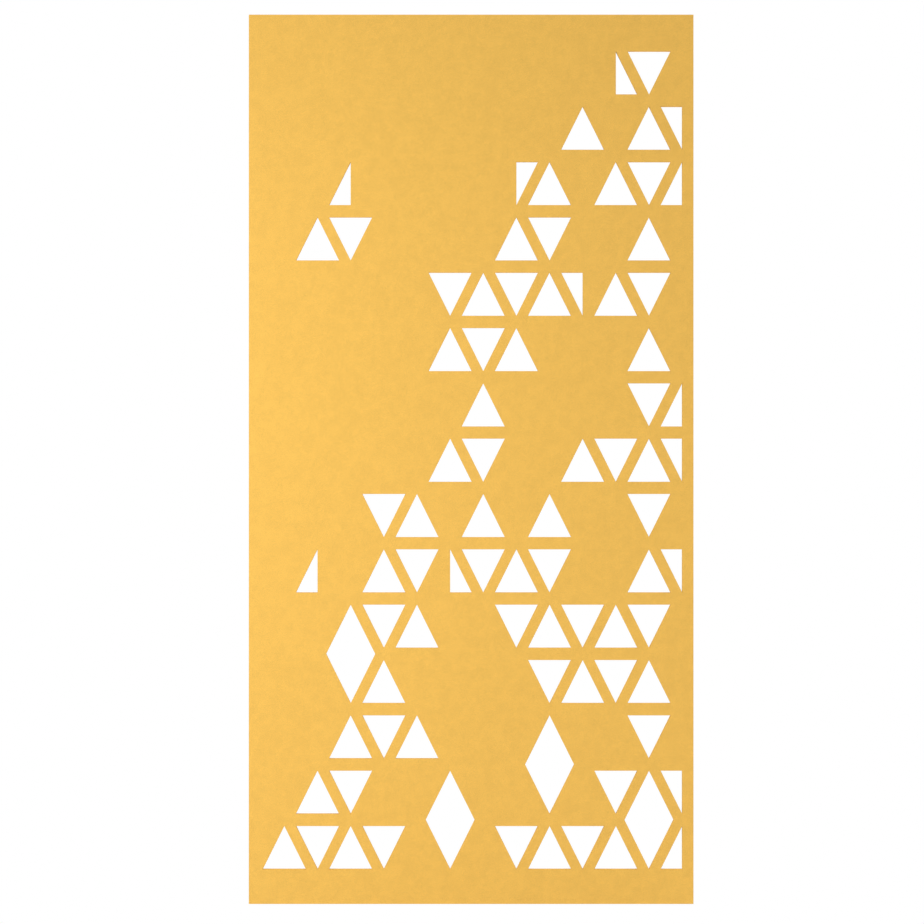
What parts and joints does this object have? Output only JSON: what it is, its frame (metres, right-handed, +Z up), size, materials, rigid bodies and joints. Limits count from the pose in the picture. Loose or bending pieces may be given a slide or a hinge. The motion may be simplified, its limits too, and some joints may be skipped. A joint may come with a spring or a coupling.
{
  "type": "hanging room divider",
  "caption": "Tall flat hanging room divider of golden felt, cut with a lattice of triangles and lozenges, hung from wire grippers hidden in its top edge.",
  "frame": {"origin": "middle of the top edge, halfway through the thickness, level with the mouths of the two wire grippers", "axes": "+Z up, +X to the right seen from the front, front face towards -Y"},
  "size_m": [1.22, 0.024, 2.44],
  "materials": {
    "golden_felt": "matte pressed felt",
    "rail_aluminium": "mill finish",
    "zinc_steel": "zinc plated",
    "nickel_brass": "satin nickel plated",
    "bearing_steel": "polished",
    "spring_steel": "drawn wire",
    "black_nylon": "moulded",
    "white_nylon": "turned"
  },
  "bodies": {
    "panel": {"front_felt_board": "golden_felt", "rear_felt_board": "golden_felt", "top_rail": "rail_aluminium", "rail_anchor_pins": "white_nylon", "bottom_bar": "zinc_steel"},
    "left_slide_set": {"rail_slider_left": "zinc_steel", "clamp_washer_left": "zinc_steel"},
    "left_gripper_set": {"gripper_stud_left": "zinc_steel", "gripper_base_left": "nickel_brass", "wire_deflector_left": "black_nylon", "gripper_barrel_left": "nickel_brass", "plunger_spring_left": "spring_steel"},
    "left_plunger_set": {"release_plunger_left": "nickel_brass", "locking_balls_left": "bearing_steel"},
    "right_slide_set": {"rail_slider_right": "zinc_steel", "clamp_washer_right": "zinc_steel"},
    "right_gripper_set": {"gripper_stud_right": "zinc_steel", "gripper_base_right": "nickel_brass", "wire_deflector_right": "black_nylon", "gripper_barrel_right": "nickel_brass", "plunger_spring_right": "spring_steel"},
    "right_plunger_set": {"release_plunger_right": "nickel_brass", "locking_balls_right": "bearing_steel"}
  },
  "joints": [
    {"name": "left_hanger_slide", "type": "slide", "parent": "panel", "child": "left_slide_set", "axis": [1, 0, 0], "range_m": [-0.06, 0.06]},
    {"name": "left_gripper_turn", "type": "hinge", "parent": "left_slide_set", "child": "left_gripper_set", "pos_m": [-0.4, 0, 0], "axis": [0, 0, 1], "range_deg": [0, 180]},
    {"name": "left_plunger_press", "type": "slide", "parent": "left_gripper_set", "child": "left_plunger_set", "axis": [0, 0, -1], "range_m": [0, 0.0025], "stiffness_N_per_m": 700, "springref_m": -0.003, "deforming": ["plunger_spring_left"]},
    {"name": "right_hanger_slide", "type": "slide", "parent": "panel", "child": "right_slide_set", "axis": [1, 0, 0], "range_m": [-0.06, 0.06]},
    {"name": "right_gripper_turn", "type": "hinge", "parent": "right_slide_set", "child": "right_gripper_set", "pos_m": [0.4, 0, 0], "axis": [0, 0, 1], "range_deg": [0, 180]},
    {"name": "right_plunger_press", "type": "slide", "parent": "right_gripper_set", "child": "right_plunger_set", "axis": [0, 0, -1], "range_m": [0, 0.0025], "stiffness_N_per_m": 700, "springref_m": -0.003, "deforming": ["plunger_spring_right"]}
  ]
}
